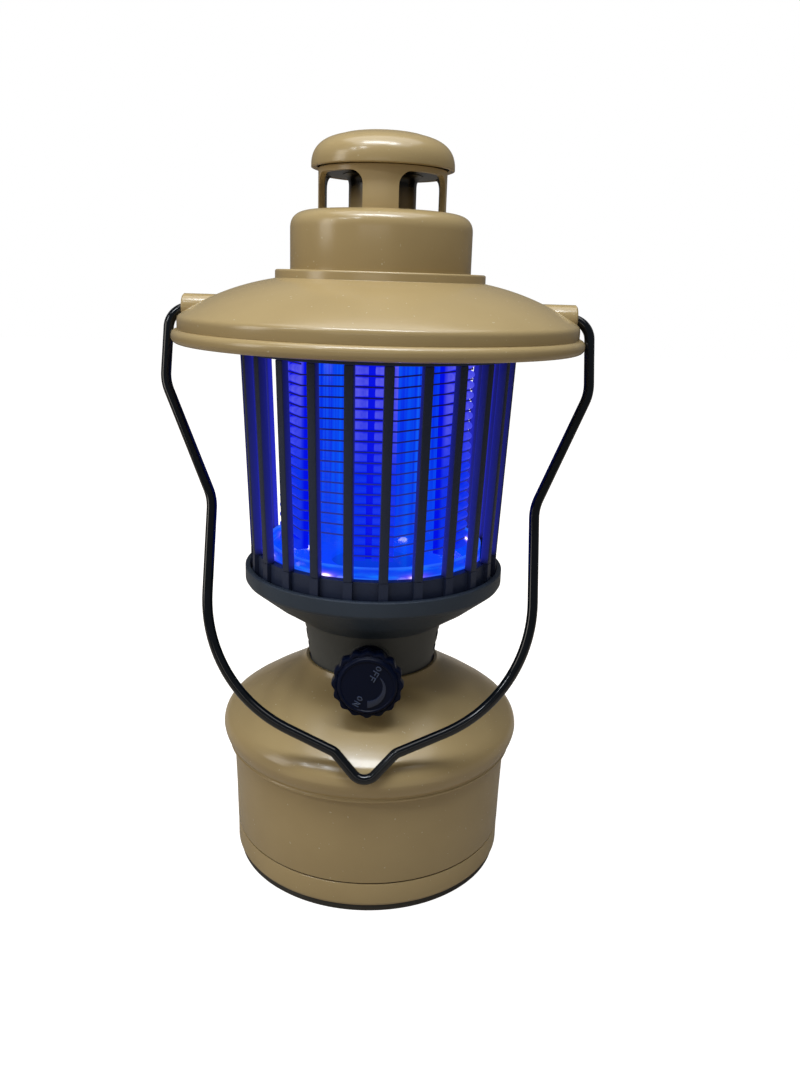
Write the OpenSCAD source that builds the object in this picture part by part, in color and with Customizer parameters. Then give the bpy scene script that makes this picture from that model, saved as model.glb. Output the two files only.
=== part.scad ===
// Lantern-shaped electric insect zapper with a tank base, a ribbed cage, a
// wide hat and a swinging wire bail. The origin is the centre of the foot, on
// the floor; +Z is up and -Y is the front, where the knob is. Millimetres.

/* [Base] */
// Radius of the tank at its top edge
tank_r = 59; // [57:0.5:60]
// Radius of the rolled rim of the tank's lid
rim_r = 63.5; // [62.5:0.1:65]
// Width of the rubber foot ring
foot_w = 4; // [3:0.5:4.5]
// Height of the seam between the bottom cap and the tank
seam_z = 13.4; // [12:0.2:15]

/* [Neck and knob] */
// Height of the knob's axis above the floor
knob_z = 95; // [93:0.5:97]
// Radius over the lobes of the knob
knob_r = 13.95; // [13:0.05:15]
// Number of lobes round the knob
knob_lobes = 16; // [12:1:24]
// Distance of the knob's front face from the lantern's axis
knob_front = 50.5; // [49:0.5:54]

/* [Cage] */
// Number of vertical ribs
ribs = 24; // [16:4:28]
// Width of one rib
rib_w = 3.5; // [2.5:0.1:4]
// Depth of one rib, towards the lantern's axis
rib_d = 3.4; // [2.5:0.1:4]
// Outer radius of the ribs at their feet
cage_r_low = 51.3; // [50.5:0.1:51.5]
// Outer radius of the ribs under the hat
cage_r_high = 54.6; // [52:0.1:54.7]
// Angle that the cage and the grid are turned by, about the vertical
cage_turn = -1.7; // [-3:0.1:3]

/* [Grid] */
// Number of comb posts that carry the grid wires
posts = 6; // [5:1:8]
// Width of one comb post
post_w = 19; // [17:0.5:20]
// Height between two neighbouring grid wires
wire_pitch = 4; // [3.5:0.25:5]
// Radius of a grid wire
wire_r = 0.35; // [0.25:0.05:0.4]

/* [Hat] */
// Outer radius of the hat's rim
hat_r = 80.5; // [79:0.1:80.6]
// Height of the bail's pivot axis
pivot_z = 232; // [231:0.5:233]
// Radius of the bosses that hold the bail
boss_r = 5.35; // [5:0.05:5.6]
// Outer radius of the drum on the hat
drum_r = 35.1; // [33:0.1:36]
// Outer radius of the vented crown
crown_r = 24.5; // [24:0.1:25]
// Outer radius of the top cap
cap_r = 27.2; // [26:0.1:29]

/* [Bail] */
// Diameter of the bail wire
bail_d = 4; // [3:0.1:4.2]
// Angle of the hanging bail in front of the vertical
bail_tilt = 21.05; // [21:0.05:22]
// Half of the bail's width between its upright ends
bail_half = 82.8; // [82.7:0.1:85]

/* [Hidden] */
$fn = 96;
fit = 0.1;               // gap between two fixed parts that plug together
wall = 2.2;              // moulded wall thickness

// Heights of the stack, from the floor up
foot_h = 3.5;
tank_top = 54;
lid_top = 88.2;
neck_top = 106.5;
collar_top = 130;
ledge_z = 127.5;         // ledge in the collar that the cage stands on
band_top = 136.5;        // top of the cage's plain lower band
rib_top = 216.3;
roof_z = 219.3;          // underside of the chamber roof
rim_low = 219.5;
rim_high = 224.6;
flange_top = 247.5;
drum_top = 269.4;
crown_top = 284.6;
total_h = 298;

// Tank fittings
tank_in = tank_r - 3;    // inner radius of the tank
screw_r = 49.6;          // circle of the four base screws
port_z = 30;             // charging port
hinge_y = 58.4;          // hinge of the port cover
hinge_z = 35;
pad_y = 57.4;            // flat seat of the port cover
pin_r = 0.8;             // hinge pin

vent_half = 19;          // half of the angle that a neck vent spans
switch_y = 29.2;         // front of the switch boss, measured forward
nut_y = 30;              // seat of the switch's nut

// Grid
grid_start = cage_turn - 90;
post_in = 33.7;
post_tip = 38.7;
post_valley = 36.8;
post_low = 141.5;
slot_w = 2.6;            // groove down the middle of each post
wire_path_r = 37.3;
wire_low = 143;
led_ring_r = 32;
deck_z = 131;            // top face of the LED board
tray_top = 140.5;

tan_plastic = "#b09a72";
dark_plastic = "#3b424c";
black_plastic = "#11151d";
steel = "#b8bcc0";
board_green = "#1f5a3a";

// Points of a quadratic curve from a to c that leaves and arrives towards b
function curve(a, b, c, n = 6) =
  [for (i = [0:n]) let (t = i / n) (1 - t) * (1 - t) * a + 2 * t * (1 - t) * b + t * t * c];

// Points of an arc
function arc(centre, r, from, to, n = 6) =
  [for (i = [0:n]) let (a = from + (to - from) * i / n) centre + r * [cos(a), sin(a)]];

module lathe(points) rotate_extrude() polygon(points);
module ring(r_in, r_out, z_low, z_high)
  lathe([[r_in, z_low], [r_out, z_low], [r_out, z_high], [r_in, z_high]]);
module around(n, r = 0, start = 0)
  for (i = [0:n - 1]) rotate([0, 0, start + i * 360 / n]) translate([r, 0, 0]) children();
module rod(r, z_low, z_high) translate([0, 0, z_low]) cylinder(r = r, h = z_high - z_low);
module block(low, high) translate(low) cube(high - low);
// Along the knob's axis: distances are measured forward from the lantern's axis
module on_knob_axis() translate([0, 0, knob_z]) rotate([90, 0, 0]) children();
// Along the port cover's hinge, from its middle
module on_hinge() translate([0, hinge_y, hinge_z]) rotate([0, 90, 0]) children();
// Along the bail's pivot, on both sides, measured outwards from the lantern's axis
module on_pivots() for (s = [0, 180]) rotate([0, 0, s]) translate([0, 0, pivot_z])
  rotate([0, 90, 0]) children();

// ---------------------------------------------------------------- base

module foot_ring() color("#3a3836")
  lathe([[57 - foot_w, 0], [56.4, 0], [57, 0.6], [57, foot_h], [55.5, foot_h], [55.5, 4.8],
         [54, 4.8], [54, foot_h], [57 - foot_w, foot_h]]);

module bottom_cap() color(tan_plastic) difference() {
  union() {
    lathe(concat([[0, foot_h], [57.2, foot_h]], arc([57.1, 4.5], 1, -60, 0, 3),
      [[58.1, seam_z], [55.8, seam_z], [55.8, 18], [54, 18], [54, 12.8],
       [55.8, 11], [55.8, 6], [0, 6]]));
    around(4, screw_r, 45) rod(4.2, 5.5, 18.3);
  }
  ring(54 - fit, 55.5 + fit, foot_h - 1, 4.9);
  around(4, screw_r, 45) {
    rod(3, foot_h - 1, 12);
    rod(1.6, 11, 19);
  }
}

module base_seal() color("#15130f") ring(55.9, 57.6, seam_z, seam_z + 0.6);

module base_tank() color(tan_plastic) difference() {
  union() {
    lathe([[58.2, 14], [tank_r - 0.5, 30], [tank_r, 45], [tank_r, tank_top],
           [tank_in, tank_top], [tank_in, 14]]);
    around(4, screw_r, 45) {
      rod(4.2, 18.5, 46);
      block([0, -1.2, 18.5], [tank_in - screw_r + 1, 1.2, 46]);
    }
    for (s = [-1, 1]) {
      block([s * 11.5 - 1.5, 50, 24], [s * 11.5 + 1.5, 55.8, 26.6]);
      block([s * 6.5 - 1, pad_y - 0.2, hinge_z - 1.5], [s * 6.5 + 1, hinge_y, hinge_z + 1.5]);
      on_hinge() translate([0, 0, s * 6.5]) cylinder(r = 1.5, h = 2, center = true);
    }
  }
  around(4, screw_r, 45) rod(1.45, 18, 32);
  block([-9, pad_y, 24.4], [9, tank_r + 2, hinge_z - 1.7]);
  block([-5.3, hinge_y - 1.6, hinge_z - 2], [5.3, tank_r + 2, hinge_z + 2.2]);
  block([-5, tank_in - 3, port_z - 2.1], [5, pad_y + 1, port_z + 2.1]);
  on_hinge() rod(pin_r, -8, 8);
}

module base_screws() color(steel) around(4, screw_r, 45) {
  rod(2.7, 9.6, 12);
  rod(1.4, 11.9, 30);
}

// Rolled rim, then the shallow cone up to the neck
lid_outer = concat(
  [[60.7, 51.3]],
  curve([61.1, 51.8], [63.3, 55.5], [rim_r, 59.4], 5),
  curve([rim_r, 59.6], [rim_r - 0.1, 63], [61.2, 65.2], 5),
  curve([60.6, 65.9], [59.5, 66.8], [57.5, 68.3], 2),
  [[50.2, 73], [36.8, 80.7], [33, 83.2]],
  curve([31.2, 84.6], [29.2, 86.2], [28.3, lid_top], 3));

module base_lid() color(tan_plastic) difference() {
  union() {
    lathe(concat(lid_outer, [[27, lid_top], [27, 84.6], [30, 81.8], [36, 78.2], [49, 70.8],
      [53.7, 63.5], [53.7, 50], [tank_in - 0.2, 50], [tank_in - 0.2, tank_top],
      [tank_r + 0.2, tank_top], [tank_r + 0.2, 51.3]]));
    around(3, 29.8, 90) rod(2.7, 72.4, 82.2);
  }
  around(3, 29.8, 90) rod(1.45, 72, 80.5);
}

module battery_holder() color(black_plastic) {
  block([-35.2, -29.5, 6], [35.2, 29.5, 8]);
  for (s = [-1, 1]) block([min(s * 33.4, s * 35.2), -29.5, 8], [max(s * 33.4, s * 35.2), 29.5, 24]);
}

module battery_cells() color("#3f7fb5")
  for (y = [-19.5, 0, 19.5]) translate([-32.5, y, 17.4]) rotate([0, 90, 0]) cylinder(r = 9.2, h = 65);

module battery_contacts() color(steel)
  for (y = [-19.5, 0, 19.5], s = [-1, 1])
    translate([s * 32.95, y, 17.4]) rotate([0, 90, 0]) cylinder(r = 5, h = 0.8, center = true, $fn = 32);

module charge_board() color(board_green) block([-12, 38, 26.6], [12, 54.4, 28.2]);

module charging_port() color(steel) difference() {
  block([-4.5, 49.5, 28.2], [4.5, 57, 31.8]);
  block([-4.15, 51, 28.6], [4.15, 58, 31.4]);
}

module port_cover() color("#2b2c2e") difference() {
  union() {
    block([-8, 57.75, 25.2], [8, 59.2, 32.6]);
    block([-5, 57.75, 32.5], [5, 59.2, hinge_z]);
    block([-3.6, 56.6, 29.2], [3.6, 57.8, 31]);
    block([-4, 59.1, 25.2], [4, 60.4, 26.6]);
    on_hinge() rod(1.3, -5, 5);
  }
  on_hinge() rod(pin_r + 0.05, -6, 6);
}

module port_cover_pin() color(steel) on_hinge() rod(pin_r - 0.01, -7.4, 7.4);

// ---------------------------------------------------------------- neck

// What is cut off the switch boss and bezel, so that they clear the lid's lip
module below_bezel() block([-12, -40, 80], [12, -20, lid_top + 0.3]);

module neck() color(dark_plastic) difference() {
  union() {
    lathe([[20, 70], [33, 70], [33, 72.3], [24.4, 72.3], [29.5, neck_top], [27.3, neck_top],
           [27.3, 101.8], [26.4, 101.8], [22.2, 73.4], [20, 72.3]]);
    difference() {
      on_knob_axis() rod(9, 24.6, switch_y);
      below_bezel();
    }
  }
  rod(27.3, 101.8, neck_top + 1);
  on_knob_axis() rod(7, 20, 30);
  around(3, 29.8, 90) rod(1.6, 69, 73);
  for (side = [0, 180], z = [89.2, 95, 100.8]) rotate([0, 0, side - vent_half])
    rotate_extrude(angle = 2 * vent_half) translate([20, z - 1.5]) square([15, 3]);
}

module neck_screws() color(steel) around(3, 29.8, 90) {
  rod(2.6, 68, 70);
  rod(1.4, 69.9, 79.5);
}

module switch_bezel() color(black_plastic) difference() {
  on_knob_axis() {
    rod(8.5, switch_y, switch_y + 2);
    rod(6.9, 23, switch_y + 0.1);
  }
  on_knob_axis() rod(6.4, nut_y, 32);
  on_knob_axis() rod(3.6, 22, 31);
  below_bezel();
}

module rotary_switch() color("#26282c") on_knob_axis() difference() {
  union() {
    block([-7, -7, 10.2], [7, 7, 22.9]);
    rod(3.5, 22.8, nut_y + 2);
  }
  rod(3.06, 14, 33);
}

module switch_nut() color(steel) on_knob_axis() difference() {
  translate([0, 0, nut_y]) cylinder(r = 5.3, h = 1.6, $fn = 6);
  rod(3.55, nut_y - 1, 33);
}

module knob_shaft() color(steel) on_knob_axis() rod(3, 14.5, 45.5);

module knob() color("#070c1c") on_knob_axis() difference() {
  union() {
    translate([0, 0, knob_front - 6.2]) linear_extrude(5) {
      circle(r = knob_r - 0.8);
      around(knob_lobes, knob_r - 1.7) circle(r = 1.7, $fn = 24);
    }
    rod(7.75, 31.7, knob_front - 6.1);
    translate([0, 0, knob_front - 1.3]) cylinder(r1 = 11.9, r2 = 11.2, h = 1.3);
  }
  rod(6.6, 31, 34.5);
  rod(3.02, 34, 45.6);
}

module control_board() color(board_green) block([-17, -10.1, 76], [17, -8.5, 104]);
module hv_transformer() color("#d8c020") block([-15, -8.4, 80], [-1, 4.5, 93]);
module hv_capacitor() color("#8a3b1e")
  translate([9, -8.4, 86]) rotate([-90, 0, 0]) cylinder(r = 5.5, h = 13);
module harness() color("#a01818")
  for (x = [-4, 0, 4]) translate([x, 9.5, 0]) rod(0.9, 28, x == 0 ? 127.5 : rib_top);

// ---------------------------------------------------------------- collar and light

module collar() color(dark_plastic)
  lathe([[25.2, 102], [27.2, 102], [27.2, neck_top], [30.3, neck_top], [41.8, 114.3],
         [42.6, 115], [53.1, 123.4], [53.7, 124.3], [53.7, 129.6], [53.3, collar_top],
         [51.7, collar_top], [51.7, ledge_z], [46.7, ledge_z], [46.7, 121.7], [24, 121.7],
         [24, 129.4], [22, 129.4], [22, 121.7], [12, 121.7], [12, 119.5], [45, 119.5],
         [40.6, 116], [29.6, 108.7], [25.2, 108.7]]);

module collecting_tray() color("#1838f0", 0.7)
  lathe([[24.2, 121.7], [44.5, 121.7], [44.5, tray_top], [43.3, tray_top], [43.3, 123.2],
         [25.4, 123.2], [25.4, 127.3], [24.2, 127.3]]);

module led_board() color("#e8e8ee") ring(18, 38.4, 129.4, deck_z);

module uv_leds() color("#c8b8ff") around(8, led_ring_r, 22.5)
  block([-1.7, -1.7, deck_z], [1.7, 1.7, deck_z + 1.3]);

module diffuser_tube() color("#2040ff", 0.6) difference() {
  ring(30.5, 33.5, deck_z, rib_top);
  around(8, led_ring_r, 22.5) block([-3, -2.4, deck_z - 1], [3, 2.4, deck_z + 2]);
}

// ---------------------------------------------------------------- grid

// Comb outline of one post: a tooth between every two wires
module post(shift) {
  first = wire_low + shift;
  teeth = floor((rib_top - first - 1) / wire_pitch);
  notch = [[post_tip, -0.9], [post_valley, -0.6], [post_valley, 0.6], [post_tip, 0.9]];
  rotate([90, 0, 0]) linear_extrude(post_w, center = true) polygon(concat(
    [[post_in, rib_top], [post_in, post_low], [post_tip, post_low]],
    [for (i = [0:teeth], p = notch) [p[0], first + i * wire_pitch + p[1]]],
    [[post_tip, rib_top]]));
}

module grid_posts() color("#9a96c8") difference() {
  for (k = [0:posts - 1]) rotate([0, 0, grid_start + k * 360 / posts])
    post(k * 2 * wire_pitch / posts % wire_pitch);
  around(posts, 0, grid_start)
    block([36.4, -slot_w / 2, post_low - 1], [post_tip + 1, slot_w / 2, rib_top + 1]);
}

// A wire wound round the posts: it bends just outside both edges of each post
bend_angle = atan((post_w / 2 + 0.3) / wire_path_r);
function wire_point(i) =
  let (k = floor(i / 2), side = i % 2 == 0 ? -1 : 1,
       a = grid_start + k * 360 / posts + side * bend_angle,
       r = wire_path_r / cos(bend_angle))
  [r * cos(a), r * sin(a), k * 2 * wire_pitch / posts];

// A hexagonal tube through the points
module wound_wire(lift) {
  passes = floor((rib_top - 1.5 - wire_low - lift) * posts / wire_pitch / 2) + 1;
  count = passes * 2;
  path = [for (i = [0:count - 1]) wire_point(i)];
  rings = [for (p = path) let (out = [p[0], p[1], 0] / norm([p[0], p[1]]))
    for (j = [0:5]) p + wire_r * (cos(j * 60) * out + sin(j * 60) * [0, 0, 1])];
  side = [for (i = [0:count - 2], j = [0:5])
    [i * 6 + j, i * 6 + (j + 1) % 6, (i + 1) * 6 + (j + 1) % 6, (i + 1) * 6 + j]];
  caps = [[for (j = [5:-1:0]) j], [for (j = [0:5]) (count - 1) * 6 + j]];
  translate([0, 0, wire_low + lift]) polyhedron(rings, concat(side, caps));
}

module grid_wire_live() color("#70747c") wound_wire(0);
module grid_wire_return() color("#70747c") wound_wire(wire_pitch);

module grid_top_plate() color(dark_plastic) ring(4, 43, rib_top, roof_z);

// ---------------------------------------------------------------- cage

module cage_base_ring() color(dark_plastic) {
  ring(46, 49.6, ledge_z, band_top);
  around(ribs, 0, 180 / ribs - 90 + cage_turn)
    block([49, -rib_w / 2, ledge_z], [cage_r_low, rib_w / 2, band_top]);
}

module cage_ribs() color(dark_plastic) around(ribs, 0, 180 / ribs - 90 + cage_turn)
  rotate([90, 0, 0]) linear_extrude(rib_w, center = true)
    polygon([[cage_r_low - rib_d, band_top], [cage_r_low, band_top],
             [cage_r_high, rib_top], [cage_r_high - rib_d, rib_top]]);

module cage_top_ring() color(dark_plastic) ring(48, 54.9, rib_top, roof_z);

// ---------------------------------------------------------------- hat

module chamber_roof() color(dark_plastic) difference() {
  lathe([[0, roof_z], [56.7, roof_z], [56.7, 220.5], [60, 220.5], [60, 222], [0, 222]]);
  rod(4, roof_z - 1, 223);
  around(4, 45.5, 45) rod(1.6, roof_z - 1, 223);
}

module roof_screws() color(steel) around(4, 45.5, 45) {
  rod(2.3, 217.3, roof_z);
  rod(1.4, roof_z - 0.1, 232);
}

module shade_rim() color(tan_plastic)
  lathe(concat([[57, rim_low]], arc([hat_r - 2.2, rim_low + 2.2], 2.2, -90, 0, 4),
    arc([hat_r - 2.2, rim_high - 2.2], 2.2, 0, 90, 4),
    [[75.8, rim_high], [75.8, 226.4], [73.6, 226.4], [73.6, 220.5], [57, 220.5]]));

dome_top = [41, 244.2];
dome_mid = [61, 240.6];
dome_low = [76.9, 230.1];

module hat_shell() lathe(concat(
  [[30, flange_top]],
  arc([40.1, flange_top - 0.8], 0.8, 90, 0, 3),
  [[40.9, dome_top[1] + 0.1]],
  curve(dome_top, dome_mid, dome_low, 9),
  curve([77.3, 229.8], [78.2, 229.1], [78.2, 227.8], 3),
  [[78.2, rim_high], [76, rim_high], [76, 228.2]],
  curve(dome_low - [1.3, 1.9], dome_mid - [0.8, 2.3], [40, 241.9], 6),
  [[30, 243]]));

module hat_shade() color(tan_plastic) difference() {
  union() {
    hat_shell();
    on_pivots() {
      rod(boss_r, 58, 76.6);
      translate([0, 0, 76.6]) cylinder(r1 = boss_r, r2 = boss_r - 0.9, h = 0.9);
    }
    around(4, 45.5, 45) rod(3.4, 222, 242);
  }
  on_pivots() {
    rod(1.95, 62.5, 75);
    translate([0, 0, 74]) cylinder(r1 = 1.95, r2 = 3.5, h = 4);
  }
  around(4, 45.5, 45) rod(1.45, 221, 233);
}

module upper_drum() color(tan_plastic) lathe(concat(
  [[drum_r, flange_top]],
  curve([drum_r, 262.8], [drum_r, drum_top - 0.5], [27.5, drum_top], 7),
  [[24.6, drum_top], [24.6, 267.9], [8, 267.9], [8, 265.7]],
  curve([26, 265.7], [drum_r - wall, 266], [drum_r - wall, 261], 4),
  [[drum_r - wall, flange_top]]));

module crown_column() color(tan_plastic) lathe(concat(
  [[10.9, 267.9], [12.9, 267.9]],
  curve([12.9, 278.6], [12.9, 282], [15.4, 282.6], 4),
  [[10.9, 282.6]]));

// One window's outline, with round upper corners: x is across it, y is height
module window_outline() {
  half = 12.1;
  corner = 5;
  side_top = 277.6;
  translate([-half, drum_top]) square([2 * half, side_top - drum_top]);
  translate([corner - half, drum_top]) square([2 * (half - corner), side_top + corner - drum_top]);
  for (s = [-1, 1]) translate([s * (half - corner), side_top]) circle(r = corner);
}

module vent_crown() color(tan_plastic) difference() {
  union() {
    ring(22.1, crown_r, drum_top, crown_top);
    ring(17, 24.4, 267.9, drum_top + 0.01);
    ring(2, 24.4, 282.7, crown_top);
  }
  around(4, 12, 45) rotate([90, 0, 90]) linear_extrude(20) window_outline();
}

module cap_screw() color(steel) {
  rod(3.2, 280.4, 282.7);
  rod(1.7, 282.6, 293.5);
}

module top_cap() color(tan_plastic) difference() {
  union() {
    lathe(concat([[24.9, 285.2], [26.4, crown_top], [cap_r, 284.9]],
      curve([cap_r, 285.8], [cap_r, 293.8], [18, 296.1], 8),
      curve([17, 296.3], [13, total_h], [0, total_h], 6),
      [[0, 295.8]],
      curve([10, 295.6], [22.5, 294.4], [24.9, 287.5], 5)));
    rod(4.2, crown_top, 296.6);
  }
  rod(1.75, 284, 294);
}

// ---------------------------------------------------------------- bail

// Half of the centre line in the bail's own plane: across, and down from the pivot
bend = 8;
slope_in = 24.3;         // slant of the upper legs
low_half = 62.2;         // half width between the lower legs
bow_r = 55;              // radius of the lower bow
bow_top = 112;
bow_end = 66;            // the bow turns this far before the straight run
tip_drop = 180.2;        // pivot to the bottom of the notch, on the centre line
notch_r = 5.5;
shoulder_r = 5;
leg_angle = 47.5;        // slope of the notch's sides

leg_top = 30;
leg_low = leg_top + (bail_half - low_half) / tan(slope_in);
run_slope = 90 - bow_end;
bow_centre = [low_half - bow_r, bow_top];
bow_point = bow_centre + bow_r * [cos(bow_end), sin(bow_end)];
notch_y = tip_drop - notch_r;
notch_side = [notch_r * sin(leg_angle), notch_y + notch_r * cos(leg_angle)];
// Where the straight run meets the notch's side
meet_x = (notch_side[1] + notch_side[0] * tan(leg_angle) - bow_point[1]
          - bow_point[0] * tan(run_slope)) / (tan(leg_angle) - tan(run_slope));
meet = [meet_x, bow_point[1] + (bow_point[0] - meet_x) * tan(run_slope)];
ease = shoulder_r * tan((leg_angle - run_slope) / 2);

half_line = concat(
  arc([bail_half - bend, bend], bend, -90, 0, 6),
  curve([bail_half, leg_top - 4], [bail_half, leg_top],
    [bail_half - 4 * sin(slope_in), leg_top + 4 * cos(slope_in)], 2),
  curve([low_half + 4 * sin(slope_in), leg_low - 4 * cos(slope_in)], [low_half, leg_low],
    [low_half, leg_low + 4], 2),
  arc(bow_centre, bow_r, 0, bow_end, 9),
  curve(meet + ease * [cos(run_slope), -sin(run_slope)], meet,
    meet + ease * [-cos(leg_angle), sin(leg_angle)], 3),
  arc([0, notch_y], notch_r, 90 - leg_angle, 90, 3));

last = len(half_line) - 1;
full_line = concat(half_line, [for (i = [last - 1:-1:0]) [-half_line[i][0], half_line[i][1]]]);

// Across the line at point i, in the bail's plane
function side_dir(i) =
  let (a = full_line[max(i - 1, 0)], b = full_line[min(i + 1, len(full_line) - 1)], d = b - a)
  i == 0 ? [0, -1] : i == len(full_line) - 1 ? [0, -1] : [d[1], -d[0]] / norm(d);

module bail_wire(sides = 12) {
  n = len(full_line);
  rings = [for (i = [0:n - 1]) let (p = full_line[i], s = side_dir(i))
    for (j = [0:sides - 1]) let (c = bail_d / 2 * cos(j * 360 / sides), o = bail_d / 2 * sin(j * 360 / sides))
      [p[0] + c * s[0], o, -p[1] - c * s[1]]];
  skin = [for (i = [0:n - 2], j = [0:sides - 1])
    [i * sides + j, i * sides + (j + 1) % sides, (i + 1) * sides + (j + 1) % sides, (i + 1) * sides + j]];
  caps = [[for (j = [sides - 1:-1:0]) j], [for (j = [0:sides - 1]) (n - 1) * sides + j]];
  polyhedron(rings, concat(skin, caps));
}

module bail() color("#10141c") translate([0, 0, pivot_z]) rotate([-bail_tilt, 0, 0]) {
  bail_wire();
  for (s = [0, 180]) rotate([0, 0, s]) rotate([0, 90, 0]) rod(1.88, 64, bail_half - bend + 0.8);
}

foot_ring();
bottom_cap();
base_seal();
base_tank();
base_screws();
base_lid();
battery_holder();
battery_cells();
battery_contacts();
charge_board();
charging_port();
port_cover();
port_cover_pin();
neck();
neck_screws();
switch_bezel();
rotary_switch();
switch_nut();
knob_shaft();
knob();
control_board();
hv_transformer();
hv_capacitor();
harness();
collar();
collecting_tray();
led_board();
uv_leds();
diffuser_tube();
grid_posts();
grid_wire_live();
grid_wire_return();
grid_top_plate();
cage_base_ring();
cage_ribs();
cage_top_ring();
chamber_roof();
roof_screws();
shade_rim();
hat_shade();
upper_drum();
crown_column();
vent_crown();
cap_screw();
top_cap();
bail();
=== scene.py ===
"""The looks of the lantern-shaped insect zapper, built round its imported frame.

Everything is in the frame's own coordinates. The outlines below are in millimetres, as
(radius, height) points for turned pieces, and MM turns them into metres.
"""
import math

import bmesh
import bpy
from mathutils import Matrix, Vector


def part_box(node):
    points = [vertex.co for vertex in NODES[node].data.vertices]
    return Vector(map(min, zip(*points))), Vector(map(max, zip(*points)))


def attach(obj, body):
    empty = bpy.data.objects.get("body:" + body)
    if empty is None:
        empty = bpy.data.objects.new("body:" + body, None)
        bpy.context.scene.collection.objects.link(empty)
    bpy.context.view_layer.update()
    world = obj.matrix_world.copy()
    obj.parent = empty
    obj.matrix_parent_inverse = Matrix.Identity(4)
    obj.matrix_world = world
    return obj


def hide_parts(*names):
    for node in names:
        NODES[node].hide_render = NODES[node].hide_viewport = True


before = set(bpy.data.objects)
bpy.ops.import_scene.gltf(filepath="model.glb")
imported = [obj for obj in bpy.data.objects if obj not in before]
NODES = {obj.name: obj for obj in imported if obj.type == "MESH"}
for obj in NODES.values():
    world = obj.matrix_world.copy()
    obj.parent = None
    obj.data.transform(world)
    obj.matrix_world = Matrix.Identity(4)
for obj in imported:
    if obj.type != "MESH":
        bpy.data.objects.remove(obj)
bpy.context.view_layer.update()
MM = 0.001


# ---- frame sizes, in mm

def node_box(node):
    """The lowest and highest corner of a CAD node, in millimetres."""
    low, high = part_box(node)
    return [v / MM for v in low], [v / MM for v in high]


TOTAL_H = node_box("top_cap")[1][2]
CAP_R = node_box("top_cap")[1][0]
RIM_R = node_box("shade_rim")[1][0]
DRUM_R = node_box("upper_drum")[1][0]
LID_R = node_box("base_lid")[1][0]
TANK_R = node_box("base_tank")[1][0]
KNOB_FRONT = -node_box("knob")[0][1]
KNOB_Z = (node_box("knob")[0][2] + node_box("knob")[1][2]) / 2
PIVOT_Z = 232
BAIL_TILT = 21.05
RIB_TOP = node_box("cage_ribs")[1][2]
BAND_TOP = node_box("cage_ribs")[0][2]
RIM_LOW, RIM_HIGH = node_box("shade_rim")[0][2], 224.6
FLANGE_TOP = node_box("hat_shade")[1][2]
DRUM_TOP = node_box("upper_drum")[1][2]
TRAY_R = node_box("collecting_tray")[1][0]
TRAY_TOP = node_box("collecting_tray")[1][2]
DECK_Z = node_box("led_board")[1][2]
TRAY_LOW = 121.7
LEDGE_Z = 127.5               # the collar's ledge, which the cage stands on
DRUM_DECK = 267.9             # the drum's top inside the crown
ROOF_Z = 219.3                # underside of the chamber's roof
RIBS = 24
RIB_W = 3.5
RIB_D = 3.4
CAGE_TURN = -1.7
POSTS = 6
POST_W = 19
POST_LOW = node_box("grid_posts")[0][2]
WIRE_PITCH = 4
WIRE_LOW = 143
WIRE_PATH_R = 37.3
WIRE_R = 0.3
SWITCH_Y = 29.2
SCREW_CIRCLE = 49.6
PORT_PIN = (58.4, 35)         # Y and Z of the pin that the port's flap turns on
FACE_TURN = -119              # how far the words on the knob are turned at rest
FRONT_POST = CAGE_TURN - 90   # angle of the post that faces the front
LEDS = 8
LED_START = 22.5
# The LEDs' painted hot spots in the tray's wall sit at this height.
HOT_Z = 0.1362                # where the LEDs show in the tray's wall, in metres


# ---- mesh helpers

ON_AXIS = 1e-6            # a smaller radius counts as a point on the Z axis
EDGE_SHARE = 0.42         # the most of an edge that one rounded corner takes
WELD = 0.0005             # corners closer than this after a boolean are one


def at(x, y, z):
    """The matrix of a move."""
    return Matrix.Translation((x, y, z))


def spin(degrees, axis):
    """The matrix of a turn round the X, Y or Z axis."""
    return Matrix.Rotation(math.radians(degrees), 4, axis)


def make_object(name, mesh, body="root", smooth_angle=32):
    """Links a mesh as an object that rides on a body, smooth up to an angle."""
    mesh.shade_smooth()
    mesh.set_sharp_from_angle(angle=math.radians(smooth_angle))
    obj = bpy.data.objects.new(name, mesh)
    bpy.context.scene.collection.objects.link(obj)
    if body:
        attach(obj, body)
    return obj


def to_mesh(name, bm):
    """Turns a bmesh in millimetres into a mesh in metres, with its faces outwards."""
    bmesh.ops.recalc_face_normals(bm, faces=bm.faces)
    bmesh.ops.scale(bm, vec=(MM, MM, MM), verts=bm.verts)
    mesh = bpy.data.meshes.new(name)
    bm.to_mesh(mesh)
    bm.free()
    return mesh


def curve(a, b, c, n=8):
    """Points of a quadratic curve from a to c that leaves and arrives towards b."""
    points = []
    for i in range(n + 1):
        t = i / n
        points.append(tuple((1 - t) ** 2 * p + 2 * t * (1 - t) * q + t * t * r
                            for p, q, r in zip(a, b, c)))
    return points


def arc(centre, r, start, end, n=8):
    """Points of an arc between two angles in degrees."""
    angles = [math.radians(start + (end - start) * i / n) for i in range(n + 1)]
    return [(centre[0] + r * math.cos(a), centre[1] + r * math.sin(a)) for a in angles]


def rounded(points, radius, steps=3, least=20):
    """A closed outline with each corner sharper than `least` degrees rounded."""
    result = []
    count = len(points)
    for i, p in enumerate(points):
        p = Vector(p)
        before, after = Vector(points[i - 1]) - p, Vector(points[(i + 1) % count]) - p
        turn = math.pi - before.angle(after) if before.length and after.length else 0
        if turn < math.radians(least) or (p.x < ON_AXIS and len(p) == 2):
            result.append(tuple(p))
            continue
        back = min(radius * math.tan(turn / 2), EDGE_SHARE * before.length,
                   EDGE_SHARE * after.length)
        result += curve(p + before.normalized() * back, p, p + after.normalized() * back, steps)
    return result


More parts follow.
